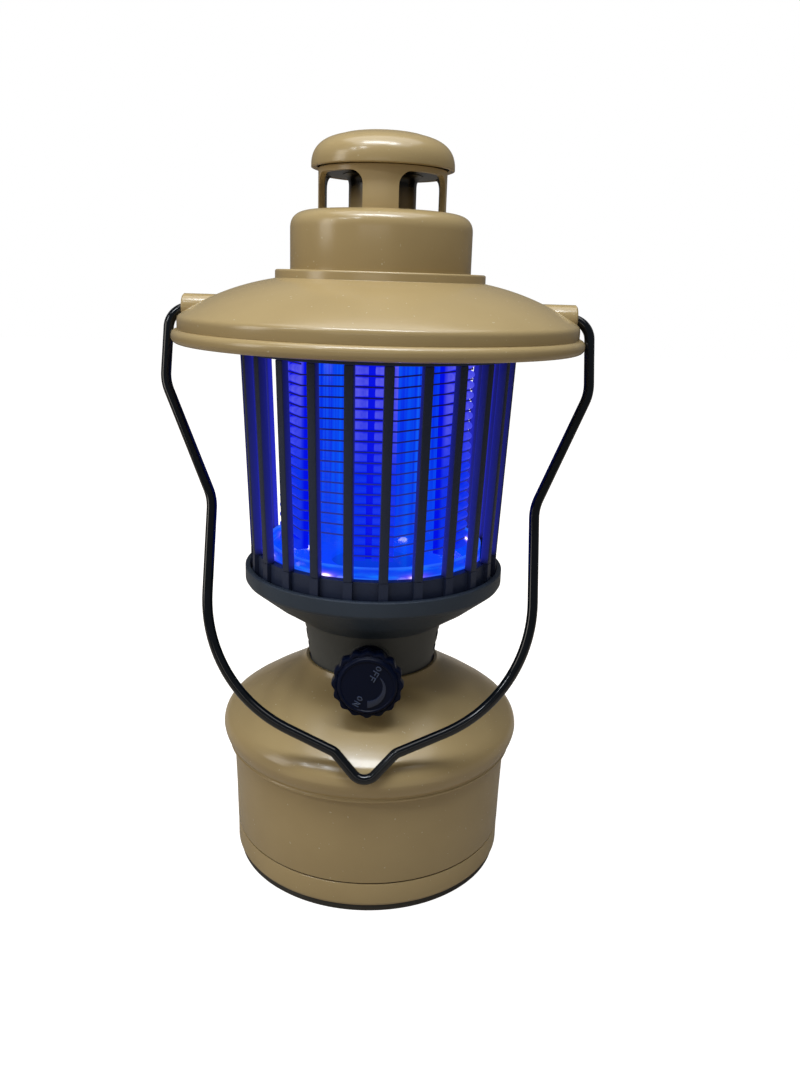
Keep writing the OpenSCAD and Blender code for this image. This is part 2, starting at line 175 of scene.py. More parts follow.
def bridge(bm, rings, count, closed=True):
    """Faces from each ring of vertices to the next; a ring may be a single vertex."""
    for a, b in zip(rings, rings[1:] + rings[:1] if closed else rings[1:]):
        if len(a) == 1 and len(b) == 1:
            continue
        for k in range(count):
            j = (k + 1) % count
            quad = [a[k % len(a)], a[j % len(a)], b[j % len(b)], b[k % len(b)]]
            bm.faces.new(list(dict.fromkeys(quad)))


def lathe_bm(outline, segments=192, radius=0.3, ripple=None):
    """Turns a closed outline of (radius, height) points round the Z axis.

    `radius` rounds its corners, and ripple(r, angle) is added to each radius.
    """
    bm = bmesh.new()
    angles = [2 * math.pi * k / segments for k in range(segments)]
    rings = []
    for r, z in rounded(outline, radius) if radius else outline:
        if r < ON_AXIS:
            rings.append([bm.verts.new((0, 0, z))])
            continue
        radii = [r + ripple(r, a) if ripple else r for a in angles]
        rings.append([bm.verts.new((s * math.cos(a), s * math.sin(a), z))
                      for s, a in zip(radii, angles)])
    bridge(bm, rings, segments)
    return bm


def ring_bm(inner, outer, low, high, segments, radius=0.0):
    """A plain ring, or a disc or rod where the inner radius is 0."""
    return lathe_bm([(inner, low), (outer, low), (outer, high), (inner, high)], segments, radius)


def prism_bm(outline, low, high, bevel=0.3, steps=2):
    """An extruded outline in X and Y with rounded edges."""
    bm = bmesh.new()
    base = [bm.verts.new((x, y, low)) for x, y in outline]
    face = bm.faces.new(base)
    grown = bmesh.ops.extrude_face_region(bm, geom=[face])
    tops = [v for v in grown["geom"] if isinstance(v, bmesh.types.BMVert)]
    bmesh.ops.translate(bm, vec=(0, 0, high - low), verts=tops)
    if bevel:
        sharp = [e for e in bm.edges if e.calc_face_angle(0) > math.radians(35)]
        bmesh.ops.bevel(bm, geom=sharp, offset=bevel, segments=steps, profile=0.5,
                        affect="EDGES", clamp_overlap=True)
    return bm


def block_bm(low, high, bevel=0.3, steps=2):
    """A box with rounded edges between two corners."""
    outline = [(low[0], low[1]), (high[0], low[1]), (high[0], high[1]), (low[0], high[1])]
    return prism_bm(outline, low[2], high[2], bevel, steps)


def moved(bm, matrix):
    """The same bmesh, moved by a matrix."""
    bmesh.ops.transform(bm, matrix=matrix, verts=bm.verts)
    return bm


def joined(parts):
    """Several bmeshes as one; the parts don't touch each other."""
    whole = bmesh.new()
    for part in parts:
        mesh = bpy.data.meshes.new("part")
        part.to_mesh(mesh)
        part.free()
        whole.from_mesh(mesh)
        bpy.data.meshes.remove(mesh)
    return whole


def copies(make, count, start=0.0):
    """`count` copies of what make() builds, evenly spaced round the Z axis."""
    turn = 360 / count
    return joined([moved(make(k), spin(start + k * turn, "Z"))
                   for k in range(count)])


def combined(base, others, operation):
    """The exact boolean of one bmesh with several others, in millimetres."""
    solids = []
    for k, bm in enumerate([base] + others):
        bmesh.ops.recalc_face_normals(bm, faces=bm.faces)
        mesh = bpy.data.meshes.new(f"solid_{k}")
        bm.to_mesh(mesh)
        bm.free()
        obj = bpy.data.objects.new(f"solid_{k}", mesh)
        bpy.context.scene.collection.objects.link(obj)
        solids.append(obj)
    target = solids[0]
    for other in solids[1:]:
        modifier = target.modifiers.new("cut", "BOOLEAN")
        modifier.operation = operation
        modifier.solver = "EXACT"
        modifier.object = other
    evaluated = target.evaluated_get(bpy.context.evaluated_depsgraph_get())
    result = bmesh.new()
    result.from_mesh(evaluated.data)
    for obj in solids:
        mesh = obj.data
        bpy.data.objects.remove(obj)
        bpy.data.meshes.remove(mesh)
    bmesh.ops.remove_doubles(result, verts=result.verts, dist=WELD)
    bmesh.ops.dissolve_degenerate(result, edges=result.edges, dist=WELD)
    return result


def sweep_bm(path, radius, sides=16):
    """A closed tube along a path of 3-D points; radius is a number or one value per point."""
    bm = bmesh.new()
    path = [Vector(p) for p in path]
    radii = radius if isinstance(radius, list) else [radius] * len(path)
    rings = []
    normal = None
    for i, p in enumerate(path):
        ahead = (path[min(i + 1, len(path) - 1)] - path[max(i - 1, 0)]).normalized()
        if normal is None:
            normal = ahead.orthogonal().normalized()
        normal = (normal - ahead * normal.dot(ahead)).normalized()
        side = ahead.cross(normal)
        ring = []
        for k in range(sides):
            a = 2 * math.pi * k / sides
            ring.append(bm.verts.new(p + radii[i] * (math.cos(a) * normal + math.sin(a) * side)))
        rings.append(ring)
    bridge(bm, rings, sides, closed=False)
    bm.faces.new(rings[0][::-1])
    bm.faces.new(rings[-1])
    return bm


def piece(name, bm, node, material, body="root", smooth_angle=32):
    """Makes a visible piece that stands for a CAD node."""
    obj = make_object(name, to_mesh(name, bm), body, smooth_angle)
    obj.data.materials.append(material)
    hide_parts(*([node] if isinstance(node, str) else node))
    return obj


def along_y(bm, z):
    """Turns a shape made along Z so that it points to the front, at a height."""
    return moved(bm, at(0, 0, z) @ spin(90, "X"))


# ---- material helpers

def srgb(r, g, b):
    """A colour given as 0 to 255 screen values, as linear values with alpha."""
    def linear(v):
        v /= 255
        return v / 12.92 if v <= 0.04045 else ((v + 0.055) / 1.055) ** 2.4
    return (linear(r), linear(g), linear(b), 1.0)


def put(socket, value):
    """Links a value to a socket if it is a socket too, and else sets it as a constant."""
    if isinstance(value, bpy.types.NodeSocket):
        socket.id_data.links.new(value, socket)
        return
    if socket.type == "RGBA" and len(value) == 3:
        value = (*value, 1)
    socket.default_value = value


def fill(node, **inputs):
    """Puts values on a node's inputs; an underscore stands for a space in their names."""
    for key, value in inputs.items():
        put(node.inputs[key.replace("_", " ")], value)
    return node


def tools(material):
    """A material's shader node, a function that adds nodes, and one that adds Math nodes."""
    tree = material.node_tree

    def add(kind, **inputs):
        return fill(tree.nodes.new(kind), **inputs)

    def calculate(operation, *values):
        node = add("ShaderNodeMath")
        node.operation = operation
        for socket, value in zip(node.inputs, values):
            put(socket, value)
        return node.outputs[0]
    return tree.nodes["Principled BSDF"], add, calculate


def new_material(name):
    """A material, with what tools() gives for it."""
    material = bpy.data.materials.new(name)
    material.use_nodes = True
    return (material, *tools(material))


def ramp(add, factor, stops):
    """A colour ramp over a factor, from (position, colour) stops."""
    node = add("ShaderNodeValToRGB", Fac=factor)
    elements = node.color_ramp.elements
    while len(elements) < len(stops):
        elements.new(0.5)
    for element, (position, colour) in zip(elements, stops):
        element.position = position
        element.color = colour if len(colour) == 4 else (*colour, 1)
    return node.outputs["Color"]


def blended(add, factor, first, second):
    """A colour that goes from the first to the second as the factor goes from 0 to 1."""
    mix = add("ShaderNodeMix")
    mix.data_type = "RGBA"
    for index, value in ((0, factor), (6, first), (7, second)):
        put(mix.inputs[index], value)
    return mix.outputs[2]


def object_noise(add, scale, detail=2.0, rough=0.5, stretch=None):
    """Noise in the object's own coordinates; scale is in features per metre."""
    place = add("ShaderNodeTexCoord").outputs["Object"]
    if stretch:
        place = add("ShaderNodeMapping", Vector=place, Scale=stretch).outputs["Vector"]
    node = add("ShaderNodeTexNoise", Vector=place, Scale=scale, Detail=detail, Roughness=rough)
    return node.outputs["Fac"]


def carried(add, value, low, high, to_low=0.0, to_high=1.0):
    """A value carried over from one range to another, and held at its ends."""
    node = add("ShaderNodeMapRange", Value=value, From_Min=low, From_Max=high,
               To_Min=to_low, To_Max=to_high)
    return node.outputs["Result"]


def about(add, value, middle, swing):
    """A value from 0 to 1 as a small swing about a middle."""
    return carried(add, value, 0.0, 1.0, middle - swing, middle + swing)


def height_fade(add, height, low, high):
    """0 below one height, 1 above another, both in millimetres."""
    return carried(add, height, low * MM, high * MM)


def relief(add, height, strength, depth):
    """A bumped normal from a height pattern; depth is in metres."""
    return add("ShaderNodeBump", Height=height, Strength=strength,
               Distance=depth).outputs["Normal"]


def place_parts(add):
    """Object coordinates as X, Y and Z sockets, in metres."""
    split = add("ShaderNodeSeparateXYZ", Vector=add("ShaderNodeTexCoord").outputs["Object"])
    return split.outputs["X"], split.outputs["Y"], split.outputs["Z"]


def axis_distance(calculate, x, y):
    """Distance from the Z axis, in metres."""
    return calculate("SQRT", calculate("ADD", calculate("MULTIPLY", x, x),
                                       calculate("MULTIPLY", y, y)))


def led_wave(calculate, x, y):
    """A wave round the Z axis: 1 in line with each LED, -1 halfway between two."""
    angle = calculate("SUBTRACT", calculate("ARCTAN2", x, y), math.radians(LED_START))
    return calculate("COSINE", calculate("MULTIPLY", angle, float(LEDS)))


# ---- materials

COLOUR_DRIFT = (22.0, 3.0, 0.6)          # slow colour change over a moulding
DUST = (1100.0, 0.0, 0.0)                # one soft dot per cell, cut off near its peak
DUST_FROM, DUST_FULL = 0.83, 0.86
ROUGH_SWING, METAL_SWING = 0.06, 0.08    # how far roughness varies each way


def plastic(name, colour, dark, rough, grain=900.0, bump=0.12, specks=None,
            specular=0.5):
    """Injection-moulded plastic: faint colour drift, a fine skin, and optional dust specks."""
    material, shader, add, _ = new_material(name)
    base = ramp(add, object_noise(add, *COLOUR_DRIFT), [(0.3, dark), (0.72, colour)])
    skin = object_noise(add, grain, 2.0, 0.55)
    if specks:
        mask = ramp(add, object_noise(add, *DUST),
                    [(DUST_FROM, (0, 0, 0)), (DUST_FULL, (1, 1, 1))])
        base = blended(add, mask, base, specks)
    fill(shader, Base_Color=base, Roughness=about(add, skin, rough, ROUGH_SWING),
         Normal=relief(add, skin, bump, 0.0002), Specular_IOR_Level=specular)
    return material


def plain_metal(name, colour, rough):
    """Bright metal with fine drawn lines."""
    material, shader, add, _ = new_material(name)
    lines = object_noise(add, 1500.0, 3.0, 0.6, (1, 1, 0.05))
    dark = tuple(0.8 * v for v in colour[:3])
    fill(shader, Base_Color=ramp(add, lines, [(0.3, dark), (0.7, colour)]),
         Roughness=about(add, lines, rough, METAL_SWING),
         Normal=relief(add, lines, 0.1, 0.00005), Metallic=1.0)
    return material


def enamel(name):
    """Gloss black enamel on wire: smooth, with slight waviness and a thin coat."""
    material, shader, add, _ = new_material(name)
    flow = object_noise(add, 160.0, 2.0, 0.5)
    fill(shader, Base_Color=ramp(add, flow, [(0.3, srgb(3, 7, 12)), (0.7, srgb(7, 12, 19))]),
         Normal=relief(add, flow, 0.06, 0.0004), Roughness=0.1, Specular_IOR_Level=0.35,
         Coat_Weight=0.25, Coat_Roughness=0.06)
    return material


def laminate(name, colour, dark):
    """Solder-masked circuit board with a faint weave."""
    material, shader, add, _ = new_material(name)
    place = add("ShaderNodeTexCoord").outputs["Object"]
    weave = add("ShaderNodeTexChecker", Vector=place, Scale=1400.0, Color1=colour, Color2=dark)
    fill(shader, Base_Color=weave.outputs["Color"], Roughness=0.35,
         Normal=relief(add, weave.outputs["Fac"], 0.08, 0.00005))
    return material


VIOLET_FROM = 172         # height where the light begins to turn from blue to violet
DEEP_BLUE = (0.0, 0.004, 0.76)
TUBE_BLUE = (0.002, 0.042, 0.80)
PALE_BLUE = (0.004, 0.11, 0.93)
AZURE = (0.0, 0.125, 0.97)
LILAC = (0.125, 0.115, 0.80)
GLOW_SPECULAR = 0.12      # the lit plastics hardly mirror the room
STREAK_SHARPNESS = 60.0


def glowing_guide(name):
    """The clear tube that carries the light: fine streaks, a bright one over each LED."""
    material, shader, add, calculate = new_material(name)
    x, y, height = place_parts(add)
    peak = calculate("MULTIPLY", calculate("ADD", led_wave(calculate, x, y), 1.0), 0.5)
    streak = calculate("POWER", peak, STREAK_SHARPNESS)
    fine = object_noise(add, 420.0, 3.0, 0.7, (1, 1, 0.012))
    body = ramp(add, fine, [(0.32, DEEP_BLUE), (0.5, TUBE_BLUE), (0.7, PALE_BLUE)])
    body = blended(add, height_fade(add, height, 150, VIOLET_FROM), (0.003, 0.052, 0.84), body)
    lit = blended(add, calculate("MULTIPLY", streak, 0.5), body, AZURE)
    fill(shader, Emission_Color=lit, Emission_Strength=1.0, Base_Color=(0.002, 0.004, 0.05),
         Roughness=0.12, Specular_IOR_Level=GLOW_SPECULAR,
         Normal=relief(add, fine, 0.05, 0.0003),
         Alpha=carried(add, height, 0.136, 0.158, 0.5, 0.96))
    return material


def lit_comb(name):
    """Milky plastic of the posts with a painted glow: violet under the roof, blue lower down and in
    the grooves.
    """
    material, shader, add, calculate = new_material(name)
    x, y, height = place_parts(add)
    streaks = object_noise(add, 420.0, 3.0, 0.6, (1, 1, 0.05))
    cloud = object_noise(add, 60.0, 2.0, 0.5)
    violet = ramp(add, streaks,
                  [(0.3, (0.06, 0.06, 0.72)), (0.55, LILAC), (0.75, (0.19, 0.18, 0.84))])
    fade = calculate("ADD", height_fade(add, height, VIOLET_FROM, 206),
                     calculate("MULTIPLY", cloud, 0.5))
    fade = calculate("MULTIPLY", calculate("SUBTRACT", fade, 0.25), 0.7)
    fade = calculate("MINIMUM", calculate("MAXIMUM", fade, 0.0), 1.0)
    body = blended(add, fade, (0.003, 0.03, 0.80), violet)
    valley, tip = 0.0369, 0.0384      # distances from the axis that show as groove and tooth
    proud = carried(add, axis_distance(calculate, x, y), valley, tip)
    fill(shader, Emission_Color=blended(add, proud, DEEP_BLUE, body), Emission_Strength=1.0,
         Base_Color=ramp(add, streaks, [(0.3, (0.002, 0.003, 0.02)), (0.7, (0.005, 0.006, 0.05))]),
         Roughness=0.3, Specular_IOR_Level=GLOW_SPECULAR)
    return material


def lit_tray(name):
    """Clear tray with a painted blue glow: bright rim, thin caustic line round its wall."""
    material, shader, add, calculate = new_material(name)
    x, y, height = place_parts(add)
    waves = object_noise(add, 60.0, 4.0, 0.6, (1, 1, 7.0))
    line_half, spot_half = 0.00022, 0.0009
    body = ramp(add, waves, [(0.3, (0.002, 0.035, 0.82)), (0.55, (0.003, 0.07, 0.88)),
                             (0.75, (0.008, 0.21, 1.0))])
    lines = calculate("ADD", height_fade(add, height, TRAY_TOP - 0.9, TRAY_TOP - 0.3),
                      calculate("COMPARE", height, HOT_Z, line_half))
    body = blended(add, calculate("MULTIPLY", lines, 0.3), body, (0.06, 0.26, 1.0))
    # Each LED is painted as a hot spot with a lilac halo in the wall before it, just above the band
    across = calculate("SUBTRACT", 1.0, led_wave(calculate, x, y))
    up = calculate("DIVIDE", calculate("SUBTRACT", height, HOT_Z), spot_half)
    far = calculate("ADD", calculate("MULTIPLY", across, 7.0), calculate("MULTIPLY", up, up))
    halo = calculate("EXPONENT", calculate("MULTIPLY", far, -0.45))
    core = calculate("EXPONENT", calculate("MULTIPLY", far, -2.2))
    body = blended(add, halo, body, (0.22, 0.08, 1.0))
    fill(shader, Emission_Color=blended(add, core, body, (1.0, 0.85, 1.0)),
         Emission_Strength=calculate("ADD", 1.0, calculate("MULTIPLY", core, 2.0)),
         Base_Color=(0.002, 0.008, 0.08), Roughness=0.15, Specular_IOR_Level=0.15, Alpha=0.85)
    return material


def shade_inside(material, radius, low, high, dark):
    """Darkens a material near the Z axis above a height, where hardly any light comes in."""
    shader, add, calculate = tools(material)
    x, y, height = place_parts(add)
    inside = calculate("LESS_THAN", axis_distance(calculate, x, y), radius * MM)
    shade = calculate("MULTIPLY", inside, height_fade(add, height, low, high))
    colour = shader.inputs["Base Color"].links[0].from_socket
    fill(shader, Base_Color=blended(add, shade, colour, dark))


def lit_cage(name):
    """Charcoal plastic with a painted blue glow on the inner sides, which face the tube, standing
    in for its light.
    """
    material = plastic(name, srgb(44, 54, 80), srgb(38, 47, 72), 0.5, 2600.0, 0.4,
                       specular=0.3)
    shader, add, calculate = tools(material)
    x, y, height = place_parts(add)
    radius = axis_distance(calculate, x, y)
    facing = add("ShaderNodeSeparateXYZ", Vector=add("ShaderNodeNewGeometry").outputs["Normal"])
    across = calculate("ADD", calculate("MULTIPLY", x, facing.outputs["X"]),
                       calculate("MULTIPLY", y, facing.outputs["Y"]))
    outward = calculate("DIVIDE", across, radius)
    glow = calculate("MAXIMUM", calculate("SUBTRACT", 0.75, outward), 0.0)
    outside, inside = 0.056, 0.047    # distances from the axis of a rib's two sides
    inner = calculate("MULTIPLY", carried(add, radius, outside, inside), 0.9)
    glow = calculate("MULTIPLY", glow, calculate("ADD", inner, 0.15))
    glow = calculate("MULTIPLY", glow, height_fade(add, height, BAND_TOP + 0.2, BAND_TOP + 3))
    fill(shader, Emission_Color=(0.012, 0.014, 0.3), Emission_Strength=glow)
    return material


def grid_steel(name):
    """Bare wire with a painted glow: dark under the roof, lighter lower down, standing in for the
    light it catches.
    """
    material, shader, add, _ = new_material(name)
    height = place_parts(add)[2]
    lines = object_noise(add, 900.0, 2.0, 0.5)
    fill(shader,
         Base_Color=ramp(add, lines, [(0.3, (0.006, 0.005, 0.02)), (0.7, (0.015, 0.013, 0.04))]),
         Emission_Color=ramp(add, height_fade(add, height, VIOLET_FROM, 196),
                             [(0.0, (0.014, 0.022, 0.24)), (1.0, (0.004, 0.002, 0.06))]),
         Emission_Strength=1.0, Metallic=0.5, Roughness=0.35)
    return material


def led_lens(name, colour, strength):
    """A lit LED's lens; the board's finish uses it too, as a painted glow."""
    material, shader, add, _ = new_material(name)
    cloud = object_noise(add, 900.0, 1.0, 0.5)
    dim = tuple(0.8 * v for v in colour)
    fill(shader, Emission_Color=ramp(add, cloud, [(0.2, dim), (0.8, colour)]),
         Emission_Strength=strength, Base_Color=(0.7, 0.65, 0.9), Roughness=0.2)
    return material


TAN = plastic("khaki_plastic", srgb(171, 149, 105), srgb(163, 141, 98), 0.22, 700.0,
              0.08, specks=srgb(190, 176, 142), specular=0.6)
CHARCOAL = plastic("charcoal_textured", srgb(55, 66, 80), srgb(47, 57, 70), 0.5, 2600.0,
                   0.4, specular=0.3)
NECK_SKIN = plastic("neck_textured", srgb(84, 86, 85), srgb(75, 77, 76), 0.5, 2600.0,
                    0.35, specular=0.3)
KNOB_SKIN = plastic("knob_plastic", srgb(4, 13, 38), srgb(3, 10, 31), 0.36, 1200.0,
                    0.1, specular=0.12)
# Painted highlight: the marks are the knob's own plastic, drawn lighter to stand for the light on
# their raised edges.
MARK_HIGHLIGHT_SKIN = plastic("knob_mark_painted_highlight", srgb(56, 68, 94), srgb(48, 59, 84), 0.24,
                    1200.0, 0.1)
# The crown's tan is a lighter copy of TAN, painted light on its pillars; the column uses it too.
CROWN_LIT_AND_SHADED = plastic("crown_plastic_lit_and_shaded", srgb(188, 165, 120), srgb(180, 157, 113), 0.24,
                     700.0, 0.08, specular=0.35)
# Painted highlight: the arc is the knob's own plastic, drawn lighter to stand for the light on its
# raised edges.
ARC_HIGHLIGHT_SKIN = plastic("knob_arc_painted_highlight", srgb(24, 36, 64), srgb(20, 31, 56), 0.24,
                   1200.0, 0.1)
RUBBER = plastic("foot_rubber", srgb(62, 59, 54), srgb(48, 46, 42), 0.78, 1800.0, 0.35)
SWITCH_SKIN = plastic("switch_thermoset", srgb(40, 40, 44), srgb(30, 30, 33), 0.5)
SLEEVE = plastic("battery_sleeve", srgb(40, 110, 170), srgb(34, 96, 152), 0.3)
TAPE = plastic("coil_tape", srgb(214, 184, 40), srgb(196, 164, 30), 0.35)
RESIN = plastic("capacitor_resin", srgb(138, 60, 32), srgb(118, 48, 26), 0.3)
INSULATION = plastic("lead_insulation", srgb(150, 20, 20), srgb(126, 14, 14), 0.4)
STEEL = plain_metal("zinc_steel", srgb(188, 188, 192), 0.32)
# Painted shade: the crown's ceiling and the column's top darken to near black.
shade_inside(CROWN_LIT_AND_SHADED, 22.2, 268, 279, srgb(8, 6, 4))
ENAMEL = enamel("black_enamel")
BOARD = laminate("board_laminate", srgb(26, 98, 58), srgb(22, 88, 52))
GUIDE = glowing_guide("light_guide")
COMB = lit_comb("comb_plastic")
TRAY_GLOW = lit_tray("tray_plastic")
CAGE_SKIN = lit_cage("cage_textured")
GRID_STEEL = grid_steel("grid_wire_steel")
LENS = led_lens("led_lens", (0.75, 0.7, 1.0), 7.0)
# The board is no lamp: its blue is a painted glow from the LEDs on it.
LIT_BOARD = led_lens("led_board_painted_glow", (0.0, 0.03, 0.8), 1.0)
CHIP = led_lens("violet_chip", (0.8, 0.12, 0.9), 1.0)


# ---- base

def build_base():
    """Foot, bottom cap with its screws, seal, tank with its port, and the lid."""
    foot = [(53, 0), (56.2, 0), (57, 0.8), (57, 3.5), (55.5, 3.5), (55.5, 4.8), (54, 4.8),
            (54, 3.5), (53, 3.5)]
    piece("foot_ring_visual", lathe_bm(foot, 192, 0.35), "foot_ring", RUBBER)

    cap = [(0, 3.5), (53.9, 3.5), (53.9, 4.9), (55.6, 4.9), (55.6, 3.5), (57.6, 3.5),
           (58.1, 4.6), (58.1, 13.4), (55.8, 13.4), (55.8, 18), (54, 18), (54, 12.8),
           (55.8, 11), (55.8, 6), (0, 6)]
    well = [(0, 2), (3.2, 2), (3, 4), (3, 12), (1.6, 12), (1.6, 19), (0, 19)]
    head = [(0, 9.6), (1.9, 9.6), (2.7, 10.3), (2.7, 12), (1.4, 12), (1.4, 29), (0, 30)]
    slot_long, slot_half = 1.6, 0.28
    bosses, wells, screws = [], [], []
    for angle in (45, 135, 225, 315):
        place = at(SCREW_CIRCLE * math.cos(math.radians(angle)),
                   SCREW_CIRCLE * math.sin(math.radians(angle)), 0)
        bosses.append(moved(ring_bm(0, 4.2, 5.2, 18.3, 48), place))
        wells.append(moved(lathe_bm(well, 48, 0), place))
        cross = [block_bm((-x, -y, 9), (x, y, 10.5), 0)
                 for x, y in ((slot_long, slot_half), (slot_half, slot_long))]
        screws.append(moved(combined(lathe_bm(head, 32, 0.2), cross, "DIFFERENCE"), place))
    solid = combined(lathe_bm(cap, 192, 0.3), bosses, "UNION")
    piece("bottom_cap_visual", combined(solid, wells, "DIFFERENCE"), "bottom_cap", TAN)
    piece("base_screws_visual", joined(screws), "base_screws", STEEL)
    piece("base_seal_visual", ring_bm(55.9, 57.6, 13.4, 14, 192), "base_seal", RUBBER)

    wall = [(58.2, 14), (TANK_R - 0.5, 30), (TANK_R, 45), (TANK_R, 54), (TANK_R - 3, 54),
            (TANK_R - 3, 14)]
    lugs, cuts = [], []
    for x in (-6.5, 6.5):
        lugs.append(moved(ring_bm(0, 1.5, -1, 1, 32, 0.15), at(x, *PORT_PIN) @ spin(90, "Y")))
        lugs.append(block_bm((x - 0.95, 57.2, 33.6), (x + 0.95, 58.4, 36.4), 0))
    cuts.append(block_bm((-9, 57.4, 24.4), (9, 61, 33.3), 0))
    cuts.append(block_bm((-5.3, 56.8, 33), (5.3, 61, 37.2), 0))
    cuts.append(block_bm((-5, 53, 27.9), (5, 58.4, 32.1), 0))
    shell = combined(lathe_bm(wall, 192, 0.3), cuts, "DIFFERENCE")
    piece("base_tank_visual", combined(shell, lugs, "UNION"), "base_tank", TAN,
          smooth_angle=25)

    outer = [(59.9, 51.3)] + arc((60.5, 52.1), 0.8, -90, 50, 7)
    outer += curve((60.9, 53.1), (63, 55.6), (LID_R, 59.4), 8)
    outer += curve((LID_R, 59.6), (LID_R - 0.1, 63), (61.2, 65.2), 10)
    outer += curve((60.6, 65.9), (59.5, 66.8), (57.5, 68.3), 4)
    outer += [(50.2, 73), (36.8, 80.7), (33, 83.2)]
    outer += curve((31.2, 84.6), (29.2, 86.2), (28.3, 88.2), 6)
    inner = [(27, 88.2), (27, 84.6), (30, 81.8), (36, 78.2), (49, 70.8), (53.7, 63.5), (53.7, 50),
             (55.8, 50), (55.8, 54), (TANK_R + 0.2, 54), (TANK_R + 0.2, 51.3)]
    piece("base_lid_visual", lathe_bm(outer + inner, 256, 0.25), "base_lid", TAN)


def build_port():
    """The rubber flap over the charging port, with its finger lip."""
    pin_place = at(0, *PORT_PIN) @ spin(90, "Y")
    parts = [block_bm((-8, 57.75, 25.2), (8, 59.2, 32.6), 0.4, 3),
             block_bm((-5, 57.75, 31), (5, 59.2, 35), 0.3),
             block_bm((-3.6, 56.6, 29.2), (3.6, 58.2, 31), 0.2),
             block_bm((-4, 58.6, 25.2), (4, 60.4, 26.6), 0.35, 3),
             moved(ring_bm(0, 1.3, -5, 5, 32, 0.2), pin_place)]
    base, *others = parts
    piece("port_cover_visual", combined(base, others, "UNION"), "port_cover", RUBBER,
          body="port_cover")


# ---- neck, knob and collar

def wedge_bm(r_in, r_out, z_low, z_high, middle, half, n=10):
    """A ring segment, as wide as twice `half` degrees."""
    outline = arc((0, 0), r_out, middle - half, middle + half, n)
    outline += arc((0, 0), r_in, middle + half, middle - half, n)
    return prism_bm(outline, z_low, z_high, 0)


def below_bezel():
    """What is cut off the switch boss and its bezel, so that they clear the lid's lip."""
    return block_bm((-12, -40, 80), (12, -20, node_box("switch_bezel")[0][2]), 0)


def build_neck():
    """The charcoal cone with three vents on each side and a flat boss for the switch."""
    outline = [(20, 70), (33, 70), (33, 72.3), (24.4, 72.3), (29.5, 106.5), (27.3, 106.5),
               (27.3, 101.8), (26.4, 101.8), (22.2, 73.4), (20, 72.3)]
    boss = along_y(ring_bm(0, 9, 24.6, SWITCH_Y, 96, 0.4), KNOB_Z)
    hole = along_y(ring_bm(0, 7, 20, 31, 48), KNOB_Z)
    collar_seat = ring_bm(0, 27.3, 101.8, 108, 192)
    vents = [wedge_bm(20, 35, z - 1.5, z + 1.5, side, 19)
             for side in (0, 180) for z in (89.2, 95, 100.8)]
    boss = combined(boss, [below_bezel()], "DIFFERENCE")
    solid = combined(lathe_bm(outline, 192, 0.25), [boss], "UNION")
    piece("neck_visual", combined(solid, [hole, collar_seat] + vents, "DIFFERENCE"), "neck",
          NECK_SKIN, smooth_angle=25)
    front, seat = SWITCH_Y + 2, SWITCH_Y + 0.8
    bezel = [(3.6, 23), (6.9, 23), (6.9, SWITCH_Y), (8.5, SWITCH_Y), (8.5, front), (6.4, front),
             (6.4, seat), (3.6, seat)]
    bezel = along_y(lathe_bm(bezel, 96, 0.3), KNOB_Z)
    piece("switch_bezel_visual", combined(bezel, [below_bezel()], "DIFFERENCE"), "switch_bezel",
          KNOB_SKIN)


def bar_bm(a, b, width, low, high):
    """A straight raised stroke between two points on the knob's face."""
    a, b = Vector(a), Vector(b)
    along = (b - a).normalized() * width / 2
    side = Vector((-along.y, along.x))
    corners = [a - along + side, a - along - side, b + along - side, b + along + side]
    return prism_bm([tuple(c) for c in corners], low, high, 0.07, 1)


def oval_bm(centre, half_w, half_h, width, low, high, n=24):
    """A raised oval ring, the letter O."""
    bm = bmesh.new()
    loops = []
    for grow, z in ((0, low), (0, high), (-width, high), (-width, low)):
        ring = []
        for k in range(n):
            a = 2 * math.pi * k / n
            ring.append(bm.verts.new((centre[0] + (half_w + grow) * math.cos(a),
                                      centre[1] + (half_h + grow) * math.sin(a), z)))
        loops.append(ring)
    bridge(bm, loops, n)
    return bm


def knob_marks(face):
    """Raised OFF and ON strokes on one line through the middle."""
    low, high, pen = face - 0.5, face, 0.42
    w, top = 0.75, 1.15       # half the width and half the height of a letter
    marks = []

    def letter(kind, x):
        if kind == "O":
            marks.append(oval_bm((x, 0), w + 0.1, top, pen, low, high))
            return
        strokes = [((-w, -top), (-w, top))]
        if kind == "F":
            strokes += [((-w + 0.5, top), (w, top)), ((-w + 0.5, 0.1), (w * 0.6, 0.1))]
        else:
            strokes += [((w, -top), (w, top)), ((-w + 0.45, top - 0.3), (w - 0.45, 0.3 - top))]
        for (x1, y1), (x2, y2) in strokes:
            marks.append(bar_bm((x + x1, y1), (x + x2, y2), pen, low, high))
    for kind, x in (("O", -8.6), ("F", -6.1), ("F", -3.7), ("O", 5.7), ("N", 8.3)):
        letter(kind, x)
    return moved(joined(marks), spin(FACE_TURN, "Z"))


def knob_arc(face):
    """The raised arc that swells from OFF to ON, above the letters."""
    outer, inner = [], []
    for k in range(25):
        t = k / 24
        a = math.radians(158 - 128 * t)
        outer.append(((6.3 + 2.6 * t) * math.cos(a), (6.3 + 2.6 * t) * math.sin(a)))
        inner.append((5.9 * math.cos(a), 5.9 * math.sin(a)))
    return moved(prism_bm(outer + inner[::-1], face - 0.5, face - 0.04, 0.09, 2),
                 spin(FACE_TURN, "Z"))


